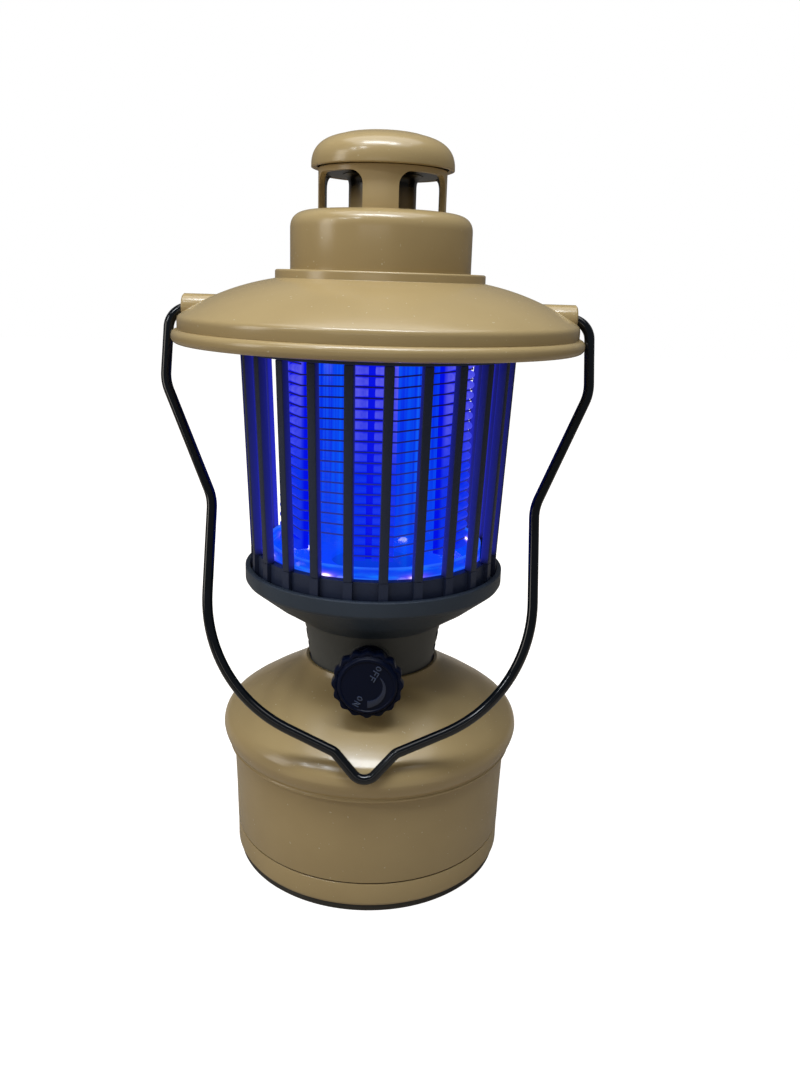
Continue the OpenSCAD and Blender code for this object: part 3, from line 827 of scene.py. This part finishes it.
def build_knob():
    """The lobed knob: hub, scalloped skirt, raised face, and its marks."""
    lobes, lobe_depth, lobed_from = 16, 0.45, 12.1
    back, front, face = KNOB_FRONT - 6.2, KNOB_FRONT - 1.2, KNOB_FRONT
    profile = [(7.75, 32), (7.75, back - 0.25), (8.0, back), (12.6, back), (13.3, back + 0.25),
               (13.5, back + 0.9), (13.5, front - 1.0), (13.3, front - 0.3), (12.8, front),
               (12.2, front + 0.02), (12.0, front - 0.25), (11.75, front - 0.1),
               (11.6, front + 0.1), (11.2, face - 0.25), (10.9, face - 0.03), (10.6, face),
               (10.3, face - 0.04), (10.05, face - 0.35), (0, face - 0.35)]
    inner = [(0, 45.6), (3.02, 45.6), (3.02, 34.5), (6.6, 34.5), (6.6, 31.7), (7.4, 31.7)]

    def scallop(r, angle):
        return lobe_depth * math.cos(lobes * angle) if r > lobed_from else 0
    turned = lathe_bm(profile + inner, 320, 0, scallop)
    for name, bm, material, smooth in (("knob_visual", turned, KNOB_SKIN, 40),
                                       ("knob_arc_visual", knob_arc(face), ARC_HIGHLIGHT_SKIN, 32),
                                       ("knob_marks_visual", knob_marks(face), MARK_HIGHLIGHT_SKIN, 32)):
        piece(name, along_y(bm, KNOB_Z), "knob", material, body="knob",
              smooth_angle=smooth)


def build_collar():
    """The bowl that carries the cage, the tray in it and the ring of LEDs."""
    outline = [(25.2, 102), (27.2, 102), (27.2, 106.5), (30.3, 106.5), (41.6, 114.2),
               (42.3, 114.6), (53.1, 123.3), (53.7, 124.3), (53.7, 129.6), (53.2, 130),
               (51.7, 130), (51.7, LEDGE_Z), (46.7, LEDGE_Z), (46.7, TRAY_LOW), (24, TRAY_LOW),
               (24, 129.4), (22, 129.4), (22, TRAY_LOW), (12, TRAY_LOW), (12, 119.5),
               (45, 119.5), (40.6, 116), (29.6, 108.7), (25.2, 108.7)]
    piece("collar_visual", lathe_bm(outline, 256, 0.22), "collar", CHARCOAL,
          smooth_angle=25)
    tray = [(24.2, TRAY_LOW), (TRAY_R, TRAY_LOW), (TRAY_R, TRAY_TOP), (TRAY_R - 1.2, TRAY_TOP),
            (TRAY_R - 1.2, 123.2), (25.4, 123.2), (25.4, 127.3), (24.2, 127.3)]
    piece("collecting_tray_visual", lathe_bm(tray, 256, 0.3), "collecting_tray", TRAY_GLOW)
    piece("led_board_visual", ring_bm(18, 38.4, DECK_Z - 1.6, DECK_Z, 128, 0.1), "led_board",
          LIT_BOARD)

    def led(_):
        top = DECK_Z + 0.6
        lens = lathe_bm([(0, top), (1.4, top), (1.3, DECK_Z + 1), (0, DECK_Z + 1.3)], 24, 0.1)
        return joined([block_bm((30.3, -1.7, DECK_Z), (33.7, 1.7, top), 0.15),
                       moved(lens, at(32, 0, 0))])
    piece("uv_leds_visual", copies(led, LEDS, LED_START), "uv_leds", LENS)
    chips = [block_bm((x - 1.5, 26, DECK_Z), (x + 1.5, 28, DECK_Z + 0.5), 0.12)
             for x in (-5, 0)]
    piece("violet_chips_visual", joined(chips), "led_board", CHIP)


# ---- grid and cage

def build_grid():
    """The glowing tube, the toothed posts and the two wound wires."""
    tube = ring_bm(30.5, 33.5, DECK_Z, RIB_TOP, 192, 0.2)
    notches = [moved(block_bm((29, -2.4, DECK_Z - 1), (35, 2.4, DECK_Z + 2), 0),
                     spin(LED_START + 45 * k, "Z")) for k in range(LEDS)]
    piece("diffuser_tube_visual", combined(tube, notches, "DIFFERENCE"), "diffuser_tube", GUIDE)

    rise = 2 * WIRE_PITCH / POSTS                # height that a wire gains from post to post

    def comb(shift):
        """Outline of a post from the side: round teeth between the wires."""
        tip, valley, half = 38.7, 36.8, WIRE_PITCH / 2 - 0.45
        points = [(33.7, RIB_TOP), (33.7, POST_LOW), (tip, POST_LOW)]
        z = WIRE_LOW + shift
        if z - WIRE_PITCH / 2 > POST_LOW:
            points += arc((valley, z - WIRE_PITCH / 2), half, 0, 90, 4)
        while z + WIRE_PITCH < RIB_TOP - 1:
            tooth = z + WIRE_PITCH / 2
            points += [(valley + (tip - valley) * math.cos(math.radians(a)),
                        tooth + half * math.sin(math.radians(a))) for a in range(-90, 91, 30)]
            z += WIRE_PITCH
        return points + [(valley, z + 0.45), (tip, z + 1.2), (tip, RIB_TOP)]

    def post(k):
        shift = (k * rise) % WIRE_PITCH
        stand = spin(90, "X")
        parts = []
        for side in (-1, 1):
            low_y, high_y = sorted((side * 1.3, side * POST_W / 2))
            parts.append(moved(prism_bm(comb(shift), low_y, high_y, 0.2, 2), stand))
        web_low, web_high = POST_LOW + 0.2, RIB_TOP - 0.1
        web = [(33.8, web_low), (36.3, web_low), (36.3, web_high), (33.8, web_high)]
        parts.append(moved(prism_bm(web, -1.4, 1.4, 0), stand))
        return joined(parts)
    piece("grid_posts_visual", copies(post, POSTS, FRONT_POST), "grid_posts", COMB,
          smooth_angle=40)

    spread = math.atan((POST_W / 2 + 0.3) / WIRE_PATH_R)
    radius = WIRE_PATH_R / math.cos(spread)
    for name, lift in (("grid_wire_live", 0), ("grid_wire_return", WIRE_PITCH)):
        path = []
        passes = int((RIB_TOP - 1.5 - WIRE_LOW - lift) / rise) + 1
        for k in range(passes):
            for side in (-1, 1):
                a = math.radians(FRONT_POST + k * 360 / POSTS) + side * spread
                path.append((radius * math.cos(a), radius * math.sin(a),
                             WIRE_LOW + lift + k * rise))
        piece(name + "_visual", sweep_bm(path, WIRE_R, 8), name, GRID_STEEL,
              smooth_angle=60)


def build_cage():
    """24 ribs with round edges, on a plain band, under a top ring."""
    r_low, r_high = 51.3, 54.6
    start = 180 / RIBS - 90 + CAGE_TURN

    def rib(_):
        side = [(r_low - RIB_D, BAND_TOP), (r_low, BAND_TOP), (r_high, RIB_TOP),
                (r_high - RIB_D, RIB_TOP)]
        return moved(prism_bm(side, -RIB_W / 2, RIB_W / 2, 0.45, 3), spin(90, "X"))
    piece("cage_ribs_visual", copies(rib, RIBS, start), "cage_ribs", CAGE_SKIN,
          smooth_angle=40)

    def foot(_):
        return block_bm((49, -RIB_W / 2, LEDGE_Z), (r_low, RIB_W / 2, BAND_TOP), 0)
    band = combined(ring_bm(46, 49.6, LEDGE_Z, BAND_TOP, 192, 0.3), [copies(foot, RIBS, start)],
                    "UNION")
    piece("cage_base_ring_visual", band, "cage_base_ring", CAGE_SKIN,
          smooth_angle=25)
    piece("cage_top_ring_visual", ring_bm(48, 54.9, RIB_TOP, ROOF_Z, 192, 0.3), "cage_top_ring",
          CAGE_SKIN)
    roof = [(4, ROOF_Z), (56.7, ROOF_Z), (56.7, 220.5), (60, 220.5), (60, 222), (4, 222)]
    piece("chamber_roof_visual", lathe_bm(roof, 192, 0.15), "chamber_roof", CHARCOAL)


# ---- hat

def build_hat():
    """Rolled rim, dome with two bosses, drum, vented crown round a column, and the cap."""
    bead = 2.2
    rim = [(57, RIM_LOW)] + arc((RIM_R - bead, RIM_LOW + bead), bead, -90, 0, 8)
    rim += arc((RIM_R - bead, RIM_HIGH - bead), bead, 0, 90, 8)
    rim += [(75.8, RIM_HIGH), (75.8, 226.4), (73.6, 226.4), (73.6, 220.5), (57, 220.5)]
    piece("shade_rim_visual", lathe_bm(rim, 320, 0.2), "shade_rim", TAN)

    top, middle, low = (41, 244.2), (61, 240.6), (76.9, 230.1)
    dome = [(30, FLANGE_TOP)] + arc((40.1, FLANGE_TOP - 0.8), 0.8, 90, 0, 6) + [(40.9, 244.3)]
    dome += curve(top, middle, low, 18)
    dome += curve((77.3, 229.8), (78.2, 229.1), (78.2, 227.8), 5)
    dome += [(78.2, RIM_HIGH), (76, RIM_HIGH), (76, 228.2)]
    dome += curve((low[0] - 1.3, low[1] - 1.9), (middle[0] - 0.8, middle[1] - 2.3), (40, 241.9), 12)
    dome += [(30, 243)]
    boss = [(0, 58), (5.35, 58), (5.35, 76.9), (4.7, 77.5), (0, 77.5)]
    bore = [(0, 62.5), (1.95, 62.5), (1.95, 74), (3.5, 78), (0, 78)]
    bosses, bores = [], []
    for turn in (90, -90):
        place = at(0, 0, PIVOT_Z) @ spin(turn, "Y")
        bosses.append(moved(lathe_bm(boss, 96, 0.4), place))
        bores.append(moved(lathe_bm(bore, 48, 0), place))
    shell = combined(lathe_bm(dome, 320, 0.2), bosses, "UNION")
    piece("hat_shade_visual", combined(shell, bores, "DIFFERENCE"), "hat_shade", TAN,
          smooth_angle=28)

    inner_r = DRUM_R - 2.2
    drum = [(DRUM_R, FLANGE_TOP)]
    drum += curve((DRUM_R, 262.8), (DRUM_R, DRUM_TOP - 0.5), (27.5, DRUM_TOP), 14)
    drum += [(24.6, DRUM_TOP), (24.6, DRUM_DECK), (8, DRUM_DECK), (8, 265.7)]
    drum += curve((26, 265.7), (inner_r, 266), (inner_r, 261), 8) + [(inner_r, FLANGE_TOP)]
    piece("upper_drum_visual", lathe_bm(drum, 256, 0.2), "upper_drum", TAN)

    column = [(10.9, DRUM_DECK), (12.9, DRUM_DECK)]
    column += curve((12.9, 278.6), (12.9, 282), (15.4, 282.6), 8) + [(10.9, 282.6)]
    piece("crown_column_visual", lathe_bm(column, 128, 0.15), "crown_column", CROWN_LIT_AND_SHADED)

    half, corner, side_top = 12.1, 5, 277.6
    window = [(-half, DRUM_TOP), (half, DRUM_TOP)]
    window += arc((half - corner, side_top), corner, 0, 90, 10)
    window += arc((corner - half, side_top), corner, 90, 180, 10)
    crown = [(22.1, DRUM_TOP), (17, DRUM_TOP), (17, DRUM_DECK), (24.4, DRUM_DECK),
             (24.4, DRUM_TOP), (24.5, DRUM_TOP + 0.02), (24.5, 284.6), (2, 284.6), (2, 282.7),
             (22.1, 282.7)]
    outwards = Matrix(((0, 0, 1, 0), (1, 0, 0, 0), (0, 1, 0, 0), (0, 0, 0, 1)))
    cutters = [moved(prism_bm(window, 12, 32, 0), spin(45 + 90 * k, "Z") @ outwards)
               for k in range(4)]
    piece("vent_crown_visual", combined(lathe_bm(crown, 256, 0.15), cutters, "DIFFERENCE"),
          "vent_crown", CROWN_LIT_AND_SHADED, smooth_angle=30)

    cap = [(24.9, 285.2), (26.4, 284.6), (CAP_R, 284.9)]
    cap += curve((CAP_R, 285.8), (CAP_R, 293.8), (18, 296.1), 18)
    cap += curve((17, 296.3), (13, TOTAL_H), (0, TOTAL_H), 14)
    cap += [(0, 284.6), (4.2, 284.6), (4.2, 295.8)]
    cap += curve((10, 295.6), (22.5, 294.4), (24.9, 287.5), 8)
    piece("top_cap_visual", lathe_bm(cap, 256, 0.2), ["top_cap", "cap_screw"], TAN)


# ---- bail

def bail_half_line():
    """Half of the bail's centre line in its own plane: (across, down from the pivot)."""
    half, bend = 82.8, 8                    # half width at the top, and its bend's radius
    slope, leg_top = math.radians(24.3), 30    # the legs lean in from here
    low_half = 62.2                         # half width where the bow begins
    bow_r, bow_top, bow_end = 55, 112, 66   # the bow's radius, its start, and its turn
    ease_r = 4                              # how far the bends at the legs' ends reach
    leg_low = leg_top + (half - low_half) / math.tan(slope)
    run = math.radians(90 - bow_end)
    leg = math.radians(47.5)                # how steep the notch's sides are
    centre = (low_half - bow_r, bow_top)
    bow = (centre[0] + bow_r * math.cos(math.radians(bow_end)),
           centre[1] + bow_r * math.sin(math.radians(bow_end)))
    notch_r, drop = 5.5, 180.2
    notch_y = drop - notch_r
    side = (notch_r * math.sin(leg), notch_y + notch_r * math.cos(leg))
    meet_x = ((side[1] + side[0] * math.tan(leg) - bow[1] - bow[0] * math.tan(run))
              / (math.tan(leg) - math.tan(run)))
    meet = (meet_x, bow[1] + (bow[0] - meet_x) * math.tan(run))
    ease = 5 * math.tan((leg - run) / 2)
    line = [(62, 0), (68, 0)] + arc((half - bend, bend), bend, -90, 0, 14)
    line += curve((half, leg_top - ease_r), (half, leg_top),
                  (half - ease_r * math.sin(slope), leg_top + ease_r * math.cos(slope)), 6)
    line += curve((low_half + ease_r * math.sin(slope), leg_low - ease_r * math.cos(slope)),
                  (low_half, leg_low), (low_half, leg_low + ease_r), 6)
    line += arc(centre, bow_r, 0, bow_end, 26)
    line += curve((meet[0] + ease * math.cos(run), meet[1] - ease * math.sin(run)), meet,
                  (meet[0] - ease * math.cos(leg), meet[1] + ease * math.sin(leg)), 6)
    line += arc((0, notch_y), notch_r, 90 - math.degrees(leg), 90, 7)
    return line


def build_bail():
    """The bent wire handle, thinner inside its two bores."""
    half = bail_half_line()
    line = half + [(-x, d) for x, d in half[-2::-1]]
    path = [(x, 0, -d) for x, d in line]
    bore_mouth, pin_r, wire_r = 75.2, 1.88, 2.0
    radii = [pin_r if abs(x) < bore_mouth and d < 1 else wire_r for x, d in line]
    tilt = at(0, 0, PIVOT_Z) @ spin(-BAIL_TILT, "X")
    piece("bail_visual", moved(sweep_bm(path, radii, 24), tilt), "bail", ENAMEL,
          body="bail", smooth_angle=60)


# ---- carried-over CAD nodes

CARRIED = {
    "battery_holder": KNOB_SKIN, "battery_cells": SLEEVE, "battery_contacts": STEEL,
    "charge_board": BOARD, "charging_port": STEEL, "port_cover_pin": STEEL,
    "neck_screws": STEEL, "rotary_switch": SWITCH_SKIN, "switch_nut": STEEL,
    "knob_shaft": STEEL, "control_board": BOARD, "hv_transformer": TAPE,
    "hv_capacitor": RESIN, "harness": INSULATION, "grid_top_plate": CHARCOAL,
    "roof_screws": STEEL,
}


def dress_carried_nodes():
    """Gives each CAD node that stays visible its own finish."""
    for node, material in CARRIED.items():
        for place in NODES[node].material_slots:
            place.material = material


# ---- studio

def area_light(name, place, size, power, colour):
    """A soft rectangular light that faces the lantern."""
    light = bpy.data.lights.new(name, "AREA")
    light.shape = "RECTANGLE"
    light.size, light.size_y = size
    light.energy = power
    light.color = colour
    obj = bpy.data.objects.new(name, light)
    obj.location = place
    facing = Vector(LOOK_AT) - Vector(place)
    obj.rotation_euler = facing.to_track_quat("-Z", "Y").to_euler()
    bpy.context.scene.collection.objects.link(obj)


AMBIENT = 0.13            # strength of the light from all round, as seen by the lantern
FLOOR_HALF = 3000
LOOK_AT = (0, 0, 0.15)
SKY_WHITE = (0.9, 0.95, 1.0)
LIGHTS = (                # name, place, size in metres, power in watts, colour
    ("ceiling", (0.0, -0.1, 1.5), (1.6, 1.2), 14, (1, 1, 1)),
    ("ceiling_panel", (-0.05, -0.37, 1.3), (0.75, 0.2), 9, (0.86, 0.93, 1.0)),
    ("ceiling_left", (-0.55, -0.75, 1.15), (0.12, 0.1), 1.2, SKY_WHITE),
    ("ceiling_far_left", (-0.9, -0.7, 1.1), (0.12, 0.12), 1.2, SKY_WHITE),
    ("window_left", (-1.5, -0.55, 0.7), (0.5, 0.9), 5, (1.0, 0.94, 0.84)),
    ("strip_front", (-0.2, -1.5, 0.42), (1.0, 0.12), 0.8, (1.0, 0.92, 0.8)),
)
CAMERA_PLACE = (0.01067, -0.37519, 0.24508)
CAMERA_DOWN, CAMERA_LEAN = 15.34, 1.777   # degrees below level, and leaning to one side


def build_floor():
    """A floor that is white to the camera, and to the lantern only a dim reflector."""
    bm = bmesh.new()
    bmesh.ops.create_grid(bm, x_segments=1, y_segments=1, size=FLOOR_HALF)
    floor = make_object("floor", to_mesh("floor", bm), body=None)
    material, shader, add, _ = new_material("pale_floor")
    cloud = object_noise(add, 6.0, 2.0, 0.5)
    fill(shader,
         Base_Color=ramp(add, cloud, [(0.3, (0.38, 0.34, 0.29)), (0.7, (0.4, 0.36, 0.31))]),
         Roughness=0.8, Specular_IOR_Level=0.0, Emission_Color=(1, 1, 1),
         Emission_Strength=add("ShaderNodeLightPath").outputs["Is Camera Ray"])
    floor.data.materials.append(material)


def build_world():
    """A backdrop that is white to the camera and dim to everything else."""
    world = bpy.data.worlds.new("studio")
    world.use_nodes = True
    nodes = world.node_tree.nodes
    camera_ray = nodes.new("ShaderNodeLightPath").outputs["Is Camera Ray"]
    dim = fill(nodes.new("ShaderNodeMapRange"), Value=camera_ray, To_Min=AMBIENT, To_Max=1.0)
    fill(nodes["Background"], Color=(1, 1, 1), Strength=dim.outputs["Result"])
    bpy.context.scene.world = world


def build_studio():
    """The floor, the backdrop, soft lights, and the camera."""
    build_floor()
    build_world()
    scene = bpy.context.scene
    scene.view_settings.view_transform = "Standard"
    for light in LIGHTS:
        area_light(*light)
    camera = bpy.data.objects.new("camera", bpy.data.cameras.new("camera"))
    camera.data.lens = 31.25
    camera.data.sensor_width = 36
    camera.data.clip_start = 0.02
    camera.matrix_world = at(*CAMERA_PLACE) @ spin(90 - CAMERA_DOWN, "X") @ spin(CAMERA_LEAN, "Z")
    scene.collection.objects.link(camera)
    scene.camera = camera


build_studio()
build_base()
build_port()
build_neck()
build_knob()
build_collar()
build_grid()
build_cage()
build_hat()
build_bail()
dress_carried_nodes()
